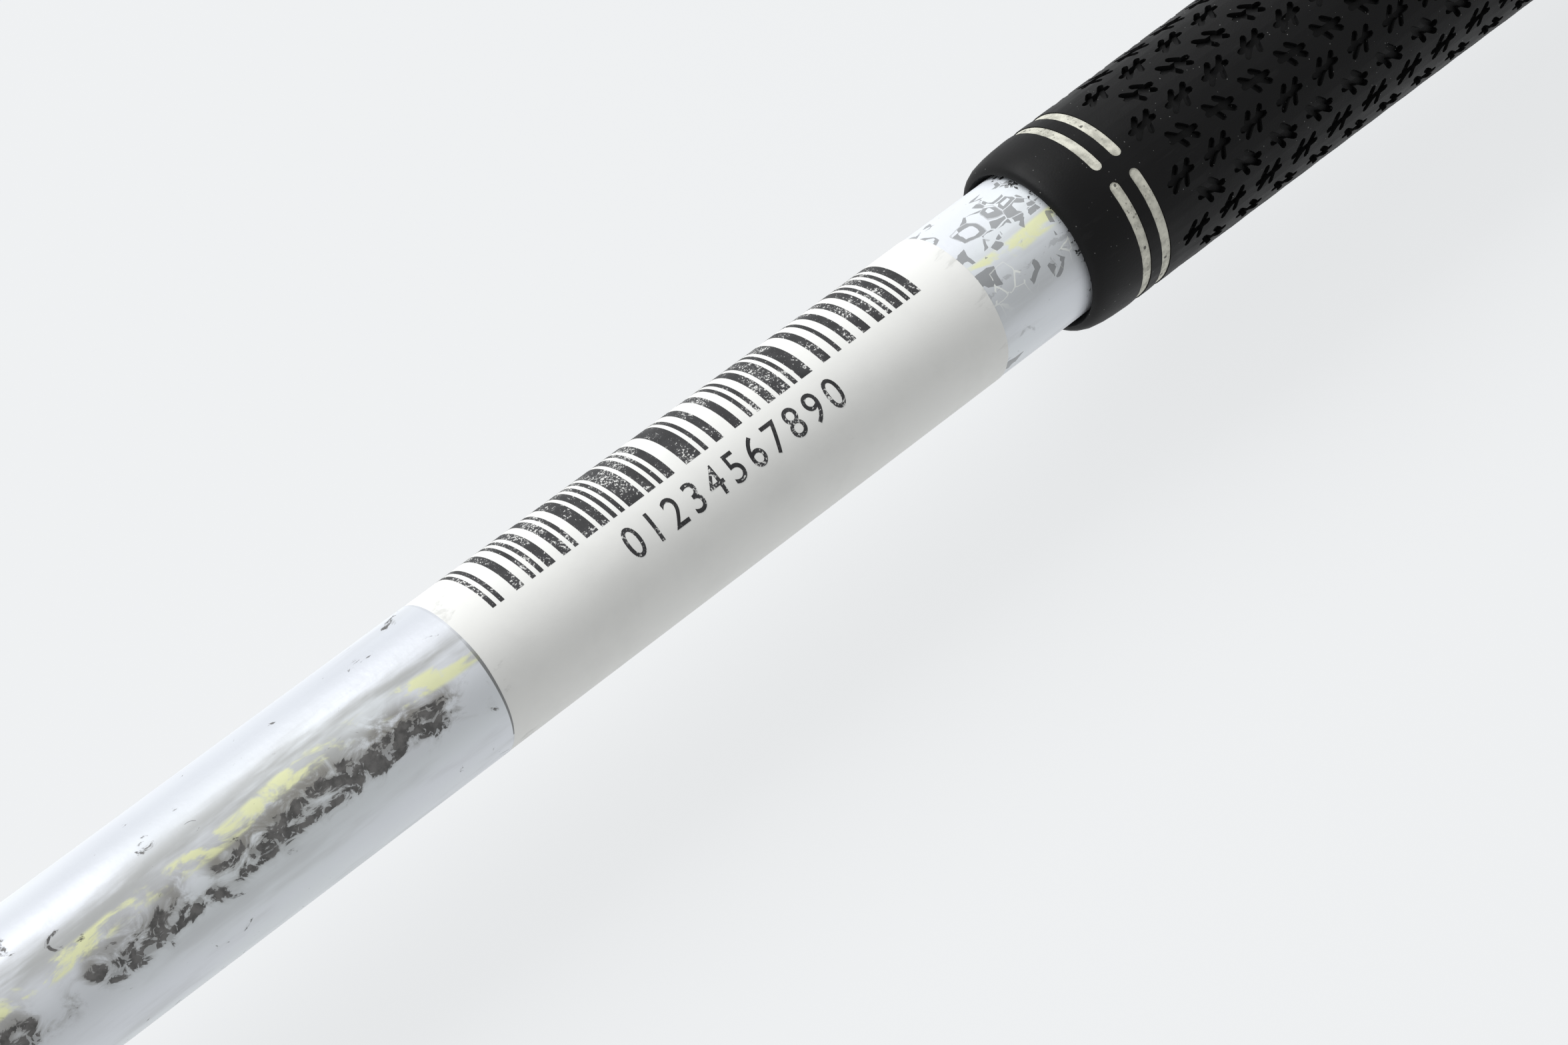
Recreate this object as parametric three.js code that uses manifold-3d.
// Folding white cane with a moulded rubber grip, an elastic cord inside and a rolling tip.
// Millimetres, +Z up. The cane lies straight along X, with the grip's butt at +X and the tip at -X.
// The origin is on the floor under the middle of the cane.
import * as THREE from 'three';
import { mergeVertices } from 'three/addons/utils/BufferGeometryUtils.js';
import Module from 'manifold-3d';

const wasm = await Module();
wasm.setup();

// ---------------------------------------------------------------- driving sizes
const FACETS = 24;

// Lengths along the cane
const GRIP_LENGTH = 232;
const SHAFT_BELOW_GRIP = 118;
const TIP_LENGTH = 36;
const FOLD_REACH = 8;

// Tube and what is wrapped round it
const TUBE_RADIUS = 6.35;
const TUBE_WALL = 0.8;
const WRAP_THICKNESS = 0.13;
const RED_BAND_LENGTH = 150;
const LABEL_LENGTH = 50.9;
const LABEL_FROM_MOUTH = 8.8;

// Grip: thickness of its rubber over the shaft, from the mouth to the butt, and the butt's flange
const MOUTH_WALL = 1.0;
const MOUTH_ROUNDING = 1.2;
const MOUTH_CHAMFER = 0.35;
const BAND_WALL = 1.55;
const PALM_WALL = 1.85;
const BUTT_WALL = 5.9;
const BAND_LENGTH = 20;
const BAND_FLARE = 0.1;
// Where the grip swells towards the butt: share of its waist's length, and share of the swell there
const SWELL = [[0.22, 0], [0.45, 0.16], [0.72, 0.42], [0.9, 0.72], [1, 1]];
const GRIP_STEPS = 14;
const FLANGE_ROUNDING = 2.4;
const FLANGE_STEPS = 3;
const FLANGE_LIP = 2.1;
const FLANGE_LENGTH = 7;

// Painted ring marks in the plain band near the mouth
const RING_DISTANCES = [5.0, 7.15];
const RING_WIDTH = 1.0;
const RING_DEPTH = 0.35;
const RING_BREAK = 1.3;
const RING_BREAK_ANGLE = 112;

// Butt of the grip
const COUNTERSINK_WALL = 2.95;
const CAP_THICKNESS = 2.1;
const TUBE_INSET = 16;
const PLUG_LENGTH = 14;
const PLUG_FLANGE = 3;
const KNOT_RADIUS = 3.6;
const CAP_PLUG = 1.8;

// Cord
const CORD_RADIUS = 1.5;

// Fold joints
const FOLDED_GAP = 3;
const SOCKET_WALL = 0.6;
const SOCKET_LENGTH = 24;
const NOSE_LENGTH = 7.5;
const SHOULDER_LENGTH = 2;
const SHOULDER_CHAMFER = 0.3;
const SHANK_LENGTH = 22;
const COLLAR_WALL = 1;
const COLLAR_LENGTH = 12;
const COLLAR_CHAMFER = 0.4;
const COLLAR_TAPER = 1;
const COLLAR_LIP = 0.2;

// Hook-on rolling tip
const ROLLER_RADIUS = 14;
const ROLLER_EDGE = 4.5;
const STEM_PLUG_LENGTH = 22;
const STEM_FLANGE = 2;
const BOSS_WALL = 0.9;
const HOOK_WIRE_RADIUS = 0.9;
const HOOK_SEAT = 8;
const HOOK_JOG = [1.5, 4.5];
const HOOK_EASE = 0.3;
const HOOK_ARM = 2.5;
const HOOK_POINT = 1.5;
const HOOK_STEPS = 30;
const LOOP_STEPS = 26;
const LOOP_ROOM = 8.2;
const WIRE_SIDES = 8;
const BEND_STEPS = 8;
const LOOP_LEGS = 11;
const CRIMP_LENGTH = 10;
const CRIMP_ROOM = 0.7;
const CRIMP_EDGE = 0.5;
const STEM_FIT = 0.15;
const STEM_TAPER = 1.5;
const STEM_TIP_STEP = 1.2;
const BOSS_LENGTH = 1.5;
const AXLE_INSET = 6;

// Ball bearing, 5 mm bore
const BEARING_BORE = 2.5;
const BEARING_OUTER = 8;
const BEARING_WIDTH = 5;
const INNER_SHOULDER = 1.05;
const OUTER_SHOULDER = 1.3;
const BALL_RADIUS = 1.5875;
const BALL_COUNT = 7;
const CAGE_THICKNESS = 1.1;
const CAGE_WIDTH = 4.2;

// Tip fastening
const WASHER_RADIUS = 5.2;
const WASHER_THICKNESS = 1;
const SCREW_HEAD_RADIUS = 3.5;
const SCREW_HEAD = 2;
const SCREW_RADIUS = 1.5;
const SCREW_LENGTH = 10;
const SCREW_HOLE_GAP = 0.1;
const SCREW_HOLE_SPARE = 1;
const SCREW_EDGE = 0.5;
const DRIVE_RADIUS = 1.575;
const DRIVE_DEPTH = 1.2;

// Named clearances
const FACE_GAP = 0.3;
const SLEEVE_GAP = 0.02;
const WRAP_GAP = 0.01;
const SEAT_GAP = 0.03;
const LOOP_GAP = 0.2;
const PRESS_GAP = 0.05;
const NOSE_GAP = 0.25;
const CORD_GAP = 0.4;
const RUNNING_GAP = 0.4;
const BALL_GAP = 0.15;

// ---------------------------------------------------------------- sizes that follow
const SHAFT_RADIUS = TUBE_RADIUS + SLEEVE_GAP + WRAP_THICKNESS;
const TUBE_BORE = TUBE_RADIUS - TUBE_WALL;
const LINER_RADIUS = TUBE_BORE - PRESS_GAP;
const GRIP_BORE = SHAFT_RADIUS + SLEEVE_GAP + WRAP_GAP;
const CORD_HOLE = CORD_RADIUS + CORD_GAP;
const SOCKET_MOUTH_RADIUS = LINER_RADIUS - SOCKET_WALL;
const COLLAR_RADIUS = SHAFT_RADIUS + COLLAR_WALL;
const MOUTH_RADIUS = SHAFT_RADIUS + MOUTH_WALL;
const BAND_RADIUS = SHAFT_RADIUS + BAND_WALL;
const PALM_RADIUS = SHAFT_RADIUS + PALM_WALL;
const BUTT_RADIUS = SHAFT_RADIUS + BUTT_WALL;
const FLANGE_RADIUS = BUTT_RADIUS + FLANGE_LIP;
const COUNTERSINK_RADIUS = TUBE_RADIUS + COUNTERSINK_WALL;
const LOOP_BEND = CORD_RADIUS + HOOK_WIRE_RADIUS + FACE_GAP;
const HOOK_BEND = LOOP_BEND + LOOP_GAP;
const BOSS_RADIUS = BEARING_BORE + BOSS_WALL;
const BALL_PITCH = (BEARING_BORE + BEARING_OUTER) / 2;
const INNER_LAND = BALL_PITCH - INNER_SHOULDER;
const OUTER_LAND = BALL_PITCH + OUTER_SHOULDER;

// A folded section lies beside the grip's flange with a gap to spare.
const PIVOT_OFFSET = (FLANGE_RADIUS + COLLAR_RADIUS + FOLDED_GAP) / 2;
const NOSE_SWING = PIVOT_OFFSET + SOCKET_MOUTH_RADIUS;

// Sections are measured between joint planes. The lowest reaches past the butt when the cane is
// folded, so its wide tip lies beyond the flange, and the middle ones are long enough for that too.
const HANDLE_SECTION = GRIP_LENGTH + SHAFT_BELOW_GRIP;
const LOWER_SECTION = HANDLE_SECTION + FOLD_REACH;
const MIDDLE_SECTION = (HANDLE_SECTION + LOWER_SECTION + TIP_LENGTH + FOLD_REACH) / 2;
const TOTAL_LENGTH = HANDLE_SECTION + 2 * MIDDLE_SECTION + LOWER_SECTION + TIP_LENGTH;
const AXIS_HEIGHT = FLANGE_RADIUS * Math.cos(Math.PI / FACETS);
const BUTT_X = TOTAL_LENGTH / 2;

// ---------------------------------------------------------------- colours
const finishes = {
  grip_rubber: [0x1c1c1d, 0.82, 0],
  ring_paint: [0xd9d6cb, 0.7, 0],
  grip_tape: [0xb9a98a, 0.9, 0],
  end_cap: [0x202122, 0.6, 0],
  tube_aluminium: [0xb9bcc0, 0.38, 0.9],
  white_film: [0xe6e9ec, 0.22, 0.1],
  red_film: [0xb3141c, 0.25, 0.1],
  label_paper: [0xe4e3df, 0.8, 0],
  joint_nylon: [0xdedcd4, 0.5, 0],
  collar_plastic: [0x2a2b2d, 0.4, 0],
  cord_elastic: [0x2b2b2f, 0.9, 0],
  steel: [0xa8abb0, 0.3, 1],
  bearing_steel: [0xc8ccd2, 0.15, 1],
  tip_nylon: [0xf0efe9, 0.45, 0],
};

function finish(slot) {
  const [color, roughness, metalness] = finishes[slot];
  return new THREE.MeshStandardMaterial({ name: slot, color, roughness, metalness });
}

// ---------------------------------------------------------------- helpers
// Joins shared corners, drops faces that have no area and turns every face outwards.
function weld(geometry) {
  const bare = geometry.clone();
  bare.deleteAttribute('normal');
  bare.deleteAttribute('uv');
  const merged = mergeVertices(bare, 1e-4);
  const corners = merged.attributes.position;
  const index = merged.index.array;
  const kept = [];
  const a = new THREE.Vector3();
  const b = new THREE.Vector3();
  const c = new THREE.Vector3();
  let volume = 0;
  for (let i = 0; i < index.length; i += 3) {
    const [i0, i1, i2] = [index[i], index[i + 1], index[i + 2]];
    if (i0 === i1 || i1 === i2 || i2 === i0) continue;
    kept.push(i0, i1, i2);
    a.fromBufferAttribute(corners, i0);
    b.fromBufferAttribute(corners, i1);
    c.fromBufferAttribute(corners, i2);
    volume += a.dot(b.cross(c));
  }
  if (volume < 0) kept.reverse();
  merged.setIndex(kept);
  return merged;
}

// A closed profile of [radius, x] points turned round the cane's axis.
function turned(profile, facets = FACETS) {
  const points = profile.map(([radius, x]) => new THREE.Vector2(radius, x));
  const lathe = new THREE.LatheGeometry(points, facets, Math.PI / facets);
  lathe.rotateZ(-Math.PI / 2);
  return weld(lathe);
}

function rod(radius, from, to) {
  return turned([[0, from], [radius, from], [radius, to], [0, to]]);
}

function sleeve(inner, outer, from, to) {
  return turned([[inner, from], [outer, from], [outer, to], [inner, to], [inner, from]]);
}

// A round wire or cord along a smooth curve through the given [x, y, z] points.
function drawn(points, radius, sides, steps) {
  const path = new THREE.CatmullRomCurve3(points.map((p) => new THREE.Vector3(...p)));
  const section = new THREE.Shape();
  for (let i = 0; i < sides; i += 1) {
    const angle = (2 * Math.PI * i) / sides;
    const corner = [radius * Math.cos(angle), radius * Math.sin(angle)];
    if (i === 0) section.moveTo(...corner);
    else section.lineTo(...corner);
  }
  section.closePath();
  return weld(new THREE.ExtrudeGeometry(section, { steps, extrudePath: path, bevelEnabled: false }));
}

function toSolid(geometry) {
  return new wasm.Manifold(new wasm.Mesh({
    numProp: 3,
    vertProperties: new Float32Array(geometry.attributes.position.array),
    triVerts: new Uint32Array(geometry.index.array),
  }));
}

function fromSolid(solid) {
  const mesh = solid.getMesh();
  const geometry = new THREE.BufferGeometry();
  geometry.setAttribute('position', new THREE.BufferAttribute(new Float32Array(mesh.vertProperties), 3));
  geometry.setIndex(new THREE.BufferAttribute(new Uint32Array(mesh.triVerts), 1));
  return geometry;
}

function block(width, depth, height, place) {
  return toSolid(weld(new THREE.BoxGeometry(width, depth, height).applyMatrix4(place)));
}

function piece(parent, name, geometry, slot) {
  const mesh = new THREE.Mesh(geometry, finish(slot));
  mesh.name = name;
  parent.add(mesh);
  return mesh;
}

// ---------------------------------------------------------------- frame
// Each group's origin is on the cane's axis: the butt face, then each joint plane, then the tip plane.
const cane = new THREE.Group();
const handle = new THREE.Group();
handle.position.set(BUTT_X, 0, AXIS_HEIGHT);
const section2 = new THREE.Group();
section2.position.x = -HANDLE_SECTION;
const section3 = new THREE.Group();
section3.position.x = -MIDDLE_SECTION;
const section4 = new THREE.Group();
section4.position.x = -MIDDLE_SECTION;
const tip = new THREE.Group();
tip.position.x = -LOWER_SECTION;
cane.add(handle);
handle.add(section2);
section2.add(section3);
section3.add(section4);
section4.add(tip);

// ---------------------------------------------------------------- grip
const MOUTH_X = -GRIP_LENGTH;

function gripRadii() {
  const waist = GRIP_LENGTH - FLANGE_LENGTH;
  const swellHeight = BUTT_RADIUS - PALM_RADIUS;
  const stations = [
    [BAND_RADIUS, MOUTH_ROUNDING],
    [BAND_RADIUS + BAND_FLARE, BAND_LENGTH],
    ...SWELL.map(([length, height]) => [PALM_RADIUS + height * swellHeight, length * waist]),
  ];
  const curve = new THREE.SplineCurve(stations.map((s) => new THREE.Vector2(...s)));
  return curve.getPoints(GRIP_STEPS).map((p) => [p.x, MOUTH_X + p.y]);
}

function gripBody() {
  const edge = [];
  for (let i = 0; i <= FLANGE_STEPS; i += 1) {
    const angle = (Math.PI / 2) * (i / FLANGE_STEPS);
    edge.push([BUTT_RADIUS + FLANGE_LIP * Math.sin(angle), FLANGE_ROUNDING * (1 - Math.cos(angle))]);
  }
  const lowerEdge = edge.map(([radius, along]) => [radius, along - FLANGE_LENGTH]).slice(1);
  const upperEdge = edge.map(([radius, along]) => [radius, -along]).reverse();
  const countersink = -CAP_THICKNESS - FACE_GAP;
  return turned([
    [GRIP_BORE, MOUTH_X],
    [MOUTH_RADIUS - MOUTH_CHAMFER, MOUTH_X],
    [MOUTH_RADIUS, MOUTH_X + MOUTH_CHAMFER],
    ...gripRadii(),
    ...lowerEdge,
    ...upperEdge,
    [COUNTERSINK_RADIUS, 0],
    [COUNTERSINK_RADIUS, countersink],
    [GRIP_BORE, countersink],
    [GRIP_BORE, MOUTH_X],
  ]);
}

// The bar of rubber that crosses each ring mark on two opposite sides.
function ringBreak(width) {
  const turn = new THREE.Matrix4().makeRotationX(THREE.MathUtils.degToRad(RING_BREAK_ANGLE));
  const place = new THREE.Matrix4().makeTranslation(MOUTH_X, 0, 0).multiply(turn);
  return block(4 * MOUTH_RADIUS, 4 * BAND_RADIUS, width, place);
}

function ringHalf(side) {
  const turn = new THREE.Matrix4().makeRotationX(THREE.MathUtils.degToRad(RING_BREAK_ANGLE));
  const reach = 2 * BAND_RADIUS;
  const shift = new THREE.Matrix4().makeTranslation(0, 0, side * reach);
  const place = new THREE.Matrix4().makeTranslation(MOUTH_X, 0, 0).multiply(turn).multiply(shift);
  return block(4 * MOUTH_RADIUS, 2 * reach, 2 * reach, place);
}

function buildGrip() {
  let body = toSolid(gripBody());
  const floor = BAND_RADIUS - RING_DEPTH;
  RING_DISTANCES.forEach((distance, row) => {
    const middle = MOUTH_X + distance;
    const from = middle - RING_WIDTH / 2;
    const to = middle + RING_WIDTH / 2;
    const groove = toSolid(sleeve(floor, BAND_RADIUS + 1, from, to));
    body = body.subtract(groove.subtract(ringBreak(RING_BREAK)));
    const inner = floor + PRESS_GAP;
    const paint = toSolid(sleeve(inner, BAND_RADIUS - PRESS_GAP, from + PRESS_GAP, to - PRESS_GAP));
    const cut = paint.subtract(ringBreak(RING_BREAK + 2 * PRESS_GAP));
    piece(handle, `ring_mark_${row + 1}_left`, fromSolid(cut.intersect(ringHalf(1))), 'ring_paint');
    piece(handle, `ring_mark_${row + 1}_right`, fromSolid(cut.intersect(ringHalf(-1))), 'ring_paint');
  });
  piece(handle, 'grip', fromSolid(body), 'grip_rubber');
}

// ---------------------------------------------------------------- handle section
const WRAP_INNER = TUBE_RADIUS + SLEEVE_GAP;
const FILM_TUCK = 4;

function wrap(parent, name, from, to, slot) {
  piece(parent, name, sleeve(WRAP_INNER, SHAFT_RADIUS, from, to), slot);
}

function buildHandle() {
  buildGrip();
  const tubeTop = -TUBE_INSET;
  const jointX = -HANDLE_SECTION;
  const capBottom = -CAP_THICKNESS;
  piece(handle, 'tube_1', sleeve(TUBE_BORE, TUBE_RADIUS, jointX, tubeTop), 'tube_aluminium');
  wrap(handle, 'grip_tape', MOUTH_X + FILM_TUCK + FACE_GAP, tubeTop, 'grip_tape');

  const plugTop = tubeTop + PRESS_GAP + PLUG_FLANGE;
  piece(handle, 'end_plug', turned([
    [CORD_HOLE, tubeTop - PLUG_LENGTH],
    [LINER_RADIUS, tubeTop - PLUG_LENGTH],
    [LINER_RADIUS, tubeTop + PRESS_GAP],
    [TUBE_RADIUS, tubeTop + PRESS_GAP],
    [TUBE_RADIUS, plugTop],
    [CORD_HOLE, plugTop],
    [CORD_HOLE, tubeTop - PLUG_LENGTH],
  ]), 'joint_nylon');

  const knotFrom = plugTop + FACE_GAP;
  const knot = [];
  for (let i = 0; i <= BEND_STEPS; i += 1) {
    const angle = (Math.PI * i) / BEND_STEPS;
    knot.push([KNOT_RADIUS * Math.sin(angle), knotFrom + KNOT_RADIUS * (1 - Math.cos(angle))]);
  }
  piece(handle, 'cord_knot', turned(knot), 'cord_elastic');

  piece(handle, 'end_cap', turned([
    [0, capBottom - CAP_PLUG],
    [TUBE_RADIUS - PRESS_GAP, capBottom - CAP_PLUG],
    [TUBE_RADIUS - PRESS_GAP, capBottom],
    [COUNTERSINK_RADIUS - FACE_GAP, capBottom],
    [COUNTERSINK_RADIUS - FACE_GAP, 0],
    [0, 0],
  ]), 'end_cap');

  const labelTop = MOUTH_X - LABEL_FROM_MOUTH;
  const labelBottom = labelTop - LABEL_LENGTH;
  wrap(handle, 'film_1_upper', labelTop + FACE_GAP / 2, MOUTH_X + FILM_TUCK, 'white_film');
  wrap(handle, 'barcode_label', labelBottom + FACE_GAP / 2, labelTop - FACE_GAP / 2, 'label_paper');
  wrap(handle, 'film_1_lower', jointX + COLLAR_LENGTH + FACE_GAP, labelBottom - FACE_GAP / 2, 'white_film');

  const cordTop = knotFrom - FACE_GAP;
  const cordBottom = jointX + NOSE_LENGTH + FACE_GAP / 2;
  piece(handle, 'cord_1', rod(CORD_RADIUS, cordBottom, cordTop), 'cord_elastic');
  buildSocket(handle, 1, jointX);
}

// ---------------------------------------------------------------- fold joints
// The socket and the nose share one curve. A point on it stays at the same distance from the fold's
// pivot, so the nose swings out of the socket without touching its wall.
function socketRadius(depth) {
  return Math.sqrt(NOSE_SWING ** 2 - depth ** 2) - PIVOT_OFFSET;
}

const NOSE_STEPS = 4;

function buildSocket(parent, number, jointX) {
  const seat = [];
  for (let i = 0; i <= NOSE_STEPS; i += 1) {
    const depth = (NOSE_LENGTH * i) / NOSE_STEPS;
    seat.push([socketRadius(depth), jointX + depth]);
  }
  const shoulder = jointX + NOSE_LENGTH + FACE_GAP;
  piece(parent, `socket_${number}`, turned([
    [LINER_RADIUS, jointX],
    ...seat,
    [seat.at(-1)[0], shoulder],
    [CORD_HOLE, shoulder],
    [CORD_HOLE, jointX + SOCKET_LENGTH],
    [LINER_RADIUS, jointX + SOCKET_LENGTH],
    [LINER_RADIUS, jointX],
  ]), 'joint_nylon');
  piece(parent, `collar_${number}`, turned([
    [WRAP_INNER, jointX],
    [COLLAR_RADIUS - COLLAR_CHAMFER, jointX],
    [COLLAR_RADIUS, jointX + COLLAR_CHAMFER],
    [COLLAR_RADIUS, jointX + COLLAR_LENGTH - COLLAR_TAPER],
    [SHAFT_RADIUS + COLLAR_LIP, jointX + COLLAR_LENGTH],
    [WRAP_INNER, jointX + COLLAR_LENGTH],
    [WRAP_INNER, jointX],
  ]), 'collar_plastic');
}

function buildNose(parent, number) {
  const nose = [];
  for (let i = 0; i <= NOSE_STEPS; i += 1) {
    const depth = (NOSE_LENGTH * i) / NOSE_STEPS;
    nose.push([socketRadius(depth) - NOSE_GAP, depth]);
  }
  const shoulder = -FACE_GAP - SHOULDER_LENGTH;
  piece(parent, `nose_${number}`, turned([
    [CORD_HOLE, shoulder - SHANK_LENGTH],
    [LINER_RADIUS, shoulder - SHANK_LENGTH],
    [LINER_RADIUS, shoulder],
    [SHAFT_RADIUS, shoulder],
    [SHAFT_RADIUS, -FACE_GAP - SHOULDER_CHAMFER],
    [SHAFT_RADIUS - SHOULDER_CHAMFER, -FACE_GAP],
    [nose[0][0], -FACE_GAP],
    ...nose,
    [CORD_HOLE, NOSE_LENGTH],
    [CORD_HOLE, shoulder - SHANK_LENGTH],
  ]), 'joint_nylon');
}

const TUBE_TOP = -FACE_GAP - SHOULDER_LENGTH - PRESS_GAP;

function buildMiddle(parent, number) {
  const jointX = -MIDDLE_SECTION;
  buildNose(parent, number);
  piece(parent, `tube_${number}`, sleeve(TUBE_BORE, TUBE_RADIUS, jointX, TUBE_TOP), 'tube_aluminium');
  wrap(parent, `film_${number}`, jointX + COLLAR_LENGTH + FACE_GAP, TUBE_TOP, 'white_film');
  const cordTop = NOSE_LENGTH - FACE_GAP / 2;
  const cordBottom = jointX + NOSE_LENGTH + FACE_GAP / 2;
  piece(parent, `cord_${number}`, rod(CORD_RADIUS, cordBottom, cordTop), 'cord_elastic');
  buildSocket(parent, number, jointX);
}

// ---------------------------------------------------------------- lowest section
const LOOP_BOTTOM = STEM_PLUG_LENGTH + LOOP_ROOM;
const CRIMP_FROM = LOOP_BOTTOM + LOOP_BEND + LOOP_LEGS + FACE_GAP;

function buildLower() {
  buildNose(section4, 4);
  const tubeBottom = -LOWER_SECTION + SHOULDER_LENGTH;
  piece(section4, 'tube_4', sleeve(TUBE_BORE, TUBE_RADIUS, tubeBottom, TUBE_TOP), 'tube_aluminium');
  const redFrom = tubeBottom + COLLAR_LENGTH + FACE_GAP;
  const redTo = redFrom + RED_BAND_LENGTH;
  wrap(section4, 'film_4_red', redFrom, redTo, 'red_film');
  wrap(section4, 'film_4_white', redTo + FACE_GAP, TUBE_TOP, 'white_film');

  // A cap over the tube's end: an outer collar, an end wall and an inner bush in one moulding
  const face = -LOWER_SECTION;
  const slot = tubeBottom - PRESS_GAP;
  piece(section4, 'end_ferrule', turned([
    [SOCKET_MOUTH_RADIUS, face],
    [COLLAR_RADIUS - COLLAR_CHAMFER, face],
    [COLLAR_RADIUS, face + COLLAR_CHAMFER],
    [COLLAR_RADIUS, tubeBottom + COLLAR_LENGTH - COLLAR_TAPER],
    [SHAFT_RADIUS + COLLAR_LIP, tubeBottom + COLLAR_LENGTH],
    [WRAP_INNER, tubeBottom + COLLAR_LENGTH],
    [WRAP_INNER, slot],
    [LINER_RADIUS, slot],
    [LINER_RADIUS, tubeBottom + STEM_PLUG_LENGTH],
    [SOCKET_MOUTH_RADIUS, tubeBottom + STEM_PLUG_LENGTH],
    [SOCKET_MOUTH_RADIUS, face],
  ]), 'collar_plastic');

  const crimpTop = -LOWER_SECTION + CRIMP_FROM + CRIMP_LENGTH;
  const cordTop = NOSE_LENGTH - FACE_GAP / 2;
  piece(section4, 'cord_4', rod(CORD_RADIUS, crimpTop + FACE_GAP, cordTop), 'cord_elastic');
}

// ---------------------------------------------------------------- cord end and hook
function buildHook() {
  const crimpRadius = SOCKET_MOUTH_RADIUS - CRIMP_ROOM;
  piece(tip, 'cord_crimp', turned([
    [0, CRIMP_FROM],
    [crimpRadius - CRIMP_EDGE, CRIMP_FROM],
    [crimpRadius, CRIMP_FROM + CRIMP_EDGE],
    [crimpRadius, CRIMP_FROM + CRIMP_LENGTH - CRIMP_EDGE],
    [crimpRadius - CRIMP_EDGE, CRIMP_FROM + CRIMP_LENGTH],
    [0, CRIMP_FROM + CRIMP_LENGTH],
  ]), 'steel');

  // The loop hangs in the XY plane, with its bend under the hook's arch
  const bendX = LOOP_BOTTOM + LOOP_BEND;
  const legTop = bendX + LOOP_LEGS;
  const loop = [[legTop, LOOP_BEND, 0], [bendX + LOOP_LEGS / 2, LOOP_BEND, 0]];
  for (let i = 0; i <= BEND_STEPS; i += 1) {
    const angle = (Math.PI * i) / BEND_STEPS;
    loop.push([bendX - LOOP_BEND * Math.sin(angle), LOOP_BEND * Math.cos(angle), 0]);
  }
  loop.push([bendX + LOOP_LEGS / 2, -LOOP_BEND, 0], [legTop, -LOOP_BEND, 0]);
  piece(tip, 'cord_loop', drawn(loop, CORD_RADIUS, WIRE_SIDES, LOOP_STEPS), 'cord_elastic');

  // The hook stands in the XZ plane: a shank on the axis, a jog outwards and an arch over the loop
  const archX = bendX - (HOOK_BEND - LOOP_BEND) - LOOP_GAP;
  const hook = [
    [STEM_PLUG_LENGTH - HOOK_SEAT + FACE_GAP, 0, 0],
    [STEM_PLUG_LENGTH - HOOK_SEAT / 4, 0, 0],
    [STEM_PLUG_LENGTH + HOOK_JOG[0], 0, HOOK_EASE],
    [STEM_PLUG_LENGTH + HOOK_JOG[1], 0, HOOK_BEND - HOOK_EASE],
    [archX - HOOK_ARM, 0, HOOK_BEND],
  ];
  for (let i = 0; i <= BEND_STEPS; i += 1) {
    const angle = (Math.PI * i) / BEND_STEPS;
    hook.push([archX + HOOK_BEND * Math.sin(angle), 0, HOOK_BEND * Math.cos(angle)]);
  }
  hook.push([archX - HOOK_POINT, 0, -HOOK_BEND]);
  piece(tip, 'tip_hook', drawn(hook, HOOK_WIRE_RADIUS, WIRE_SIDES, HOOK_STEPS), 'steel');
}

// ---------------------------------------------------------------- rolling tip
const BOSS_FACE = -FACE_GAP - STEM_FLANGE - BOSS_LENGTH;
const BEARING_TOP = BOSS_FACE - PRESS_GAP;
const BEARING_MIDDLE = BEARING_TOP - BEARING_WIDTH / 2;
const BEARING_BOTTOM = BEARING_TOP - BEARING_WIDTH;
const AXLE_RADIUS = BEARING_BORE - SEAT_GAP;
const AXLE_END = -TIP_LENGTH + AXLE_INSET;
const ROLLER_TOP = -FACE_GAP - STEM_FLANGE - RUNNING_GAP;

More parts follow.
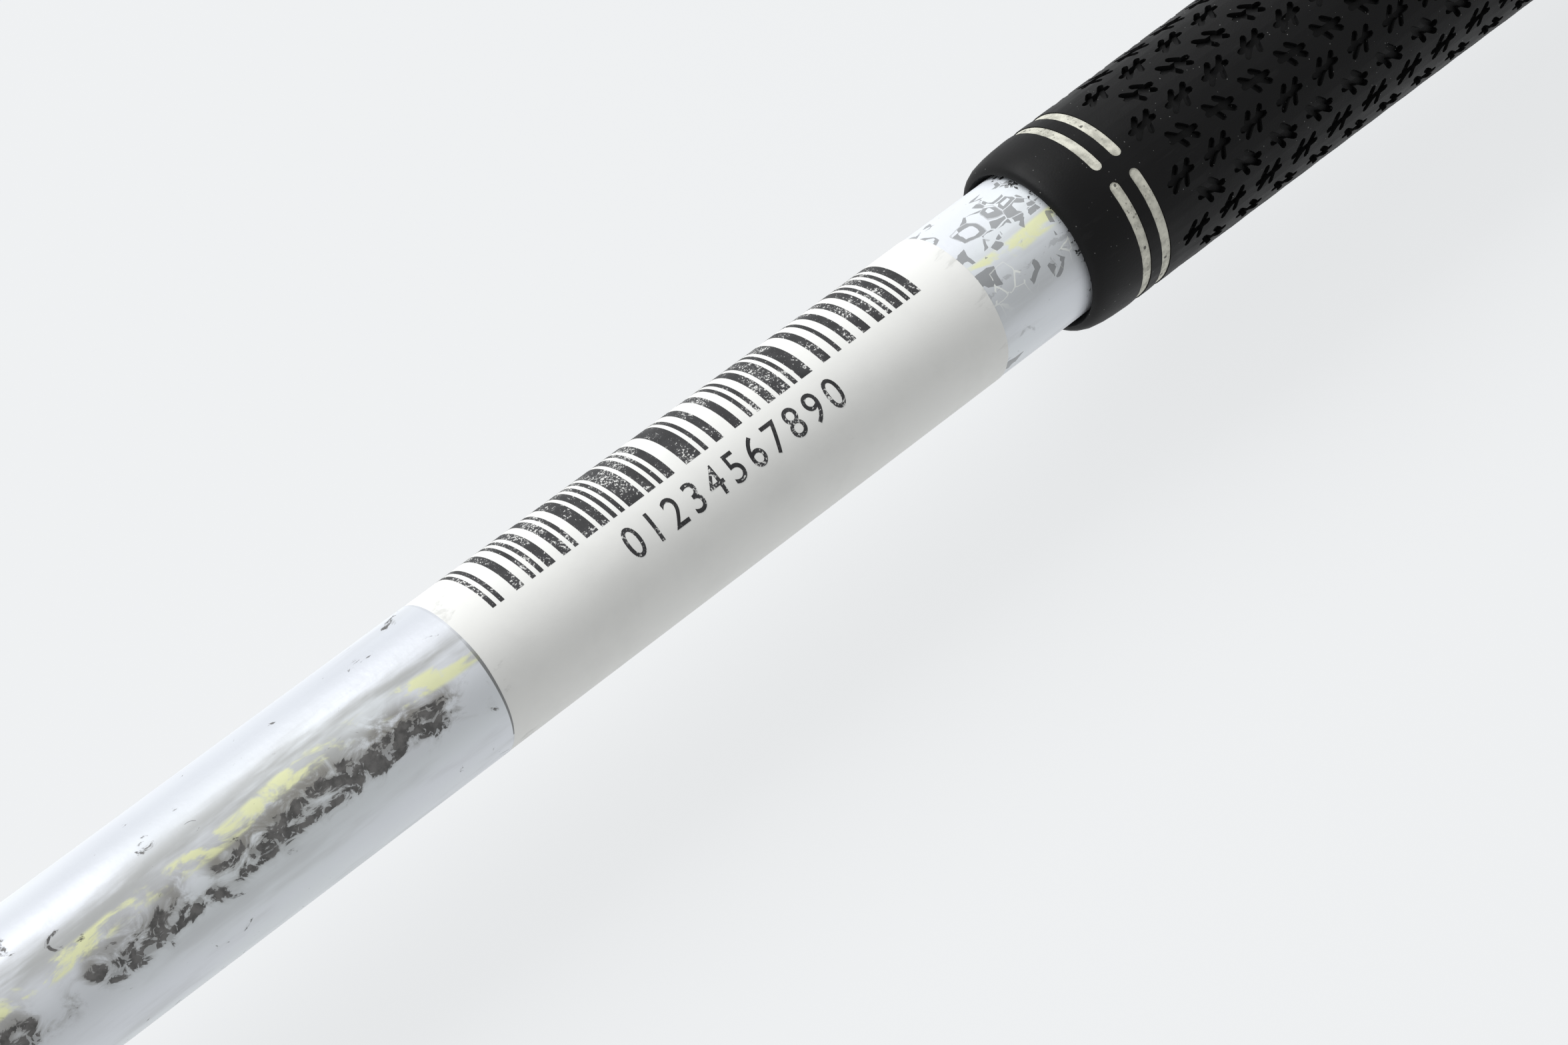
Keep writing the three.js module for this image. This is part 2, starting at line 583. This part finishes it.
function buildStem() {
  const screwHole = SCREW_RADIUS + SCREW_HOLE_GAP;
  const screwDepth = AXLE_END + SCREW_LENGTH + SCREW_HOLE_SPARE;
  const hookHole = HOOK_WIRE_RADIUS + FACE_GAP;
  const hookFloor = STEM_PLUG_LENGTH - HOOK_SEAT;
  piece(tip, 'tip_stem', turned([
    [0, screwDepth],
    [screwHole, screwDepth],
    [screwHole, AXLE_END],
    [AXLE_RADIUS, AXLE_END],
    [AXLE_RADIUS, BOSS_FACE],
    [BOSS_RADIUS, BOSS_FACE],
    [BOSS_RADIUS, -FACE_GAP - STEM_FLANGE],
    [COLLAR_RADIUS, -FACE_GAP - STEM_FLANGE],
    [COLLAR_RADIUS, -FACE_GAP],
    [SOCKET_MOUTH_RADIUS - STEM_FIT, -FACE_GAP],
    [SOCKET_MOUTH_RADIUS - STEM_FIT, STEM_PLUG_LENGTH - STEM_TAPER],
    [SOCKET_MOUTH_RADIUS - STEM_TIP_STEP, STEM_PLUG_LENGTH],
    [hookHole, STEM_PLUG_LENGTH],
    [hookHole, hookFloor],
    [0, hookFloor],
  ]), 'tip_nylon');

  const washerTop = AXLE_END - PRESS_GAP;
  const washerBottom = washerTop - WASHER_THICKNESS;
  const washerBore = screwHole + SCREW_HOLE_GAP;
  piece(tip, 'tip_washer', sleeve(washerBore, WASHER_RADIUS, washerBottom, washerTop), 'steel');
  const headTop = washerBottom - PRESS_GAP;
  piece(tip, 'tip_screw', turned([
    [0, AXLE_END + SCREW_LENGTH],
    [SCREW_RADIUS, AXLE_END + SCREW_LENGTH],
    [SCREW_RADIUS, headTop],
    [SCREW_HEAD_RADIUS, headTop],
    [SCREW_HEAD_RADIUS, headTop - SCREW_HEAD + SCREW_EDGE],
    [SCREW_HEAD_RADIUS - SCREW_EDGE, headTop - SCREW_HEAD],
    [DRIVE_RADIUS, headTop - SCREW_HEAD],
    [DRIVE_RADIUS, headTop - SCREW_HEAD + DRIVE_DEPTH],
    [0, headTop - SCREW_HEAD + DRIVE_DEPTH],
  ]), 'steel');
}

function raceway(radius, sign) {
  const reach = BALL_RADIUS + BALL_GAP;
  const points = [];
  for (let i = 0; i <= 6; i += 1) {
    const angle = THREE.MathUtils.degToRad(-54 + 18 * i);
    points.push([BALL_PITCH + sign * reach * Math.cos(angle), BEARING_MIDDLE + reach * Math.sin(angle)]);
  }
  return points.filter(([r]) => (sign > 0 ? r > radius : r < radius));
}

function buildBearing() {
  piece(tip, 'bearing_inner_race', turned([
    [BEARING_BORE, BEARING_BOTTOM],
    [INNER_LAND, BEARING_BOTTOM],
    ...raceway(INNER_LAND, -1),
    [INNER_LAND, BEARING_TOP],
    [BEARING_BORE, BEARING_TOP],
    [BEARING_BORE, BEARING_BOTTOM],
  ]), 'bearing_steel');
  piece(tip, 'bearing_outer_race', turned([
    [BEARING_OUTER, BEARING_BOTTOM],
    [OUTER_LAND, BEARING_BOTTOM],
    ...raceway(OUTER_LAND, 1),
    [OUTER_LAND, BEARING_TOP],
    [BEARING_OUTER, BEARING_TOP],
    [BEARING_OUTER, BEARING_BOTTOM],
  ]), 'bearing_steel');
  const cageInner = BALL_PITCH - CAGE_THICKNESS / 2;
  const cageOuter = BALL_PITCH + CAGE_THICKNESS / 2;
  const cageFrom = BEARING_MIDDLE - CAGE_WIDTH / 2;
  let cage = toSolid(sleeve(cageInner, cageOuter, cageFrom, cageFrom + CAGE_WIDTH));
  for (let i = 0; i < BALL_COUNT; i += 1) {
    const angle = (2 * Math.PI * i) / BALL_COUNT;
    const place = [BEARING_MIDDLE, BALL_PITCH * Math.cos(angle), BALL_PITCH * Math.sin(angle)];
    const pocket = new THREE.SphereGeometry(BALL_RADIUS + BALL_GAP, 10, 6).translate(...place);
    cage = cage.subtract(toSolid(weld(pocket)));
    const round = weld(new THREE.SphereGeometry(BALL_RADIUS, 10, 7));
    const ball = piece(tip, `bearing_ball_${i + 1}`, round, 'bearing_steel');
    ball.position.set(...place);
  }
  piece(tip, 'bearing_cage', fromSolid(cage), 'joint_nylon');
}

function buildRoller() {
  const seat = BEARING_OUTER + SEAT_GAP;
  const seatFloor = BEARING_BOTTOM - PRESS_GAP;
  const bore = AXLE_RADIUS + RUNNING_GAP;
  const recess = WASHER_RADIUS + RUNNING_GAP * 2;
  const recessFloor = AXLE_END + RUNNING_GAP;
  const outline = [];
  for (let i = 0; i <= 4; i += 1) {
    const angle = (Math.PI / 2) * (i / 4);
    const along = ROLLER_EDGE * (1 - Math.cos(angle));
    outline.push([ROLLER_RADIUS - ROLLER_EDGE * (1 - Math.sin(angle)), along]);
  }
  const bottomEdge = outline.map(([r, d]) => [r, -TIP_LENGTH + d]);
  const topEdge = outline.map(([r, d]) => [r, ROLLER_TOP - d]).reverse();
  piece(tip, 'roller', turned([
    [recess, -TIP_LENGTH],
    ...bottomEdge,
    ...topEdge,
    [seat, ROLLER_TOP],
    [seat, seatFloor],
    [bore, seatFloor],
    [bore, recessFloor],
    [recess, recessFloor],
    [recess, -TIP_LENGTH],
  ]), 'tip_nylon');
  const coverTop = ROLLER_TOP - PRESS_GAP;
  const coverBottom = BEARING_TOP + PRESS_GAP;
  const coverHole = BOSS_RADIUS + RUNNING_GAP;
  piece(tip, 'dust_cover', sleeve(coverHole, BEARING_OUTER, coverBottom, coverTop), 'steel');
}

buildHandle();
buildMiddle(section2, 2);
buildMiddle(section3, 3);
buildLower();
buildHook();
buildStem();
buildBearing();
buildRoller();

export default cane;
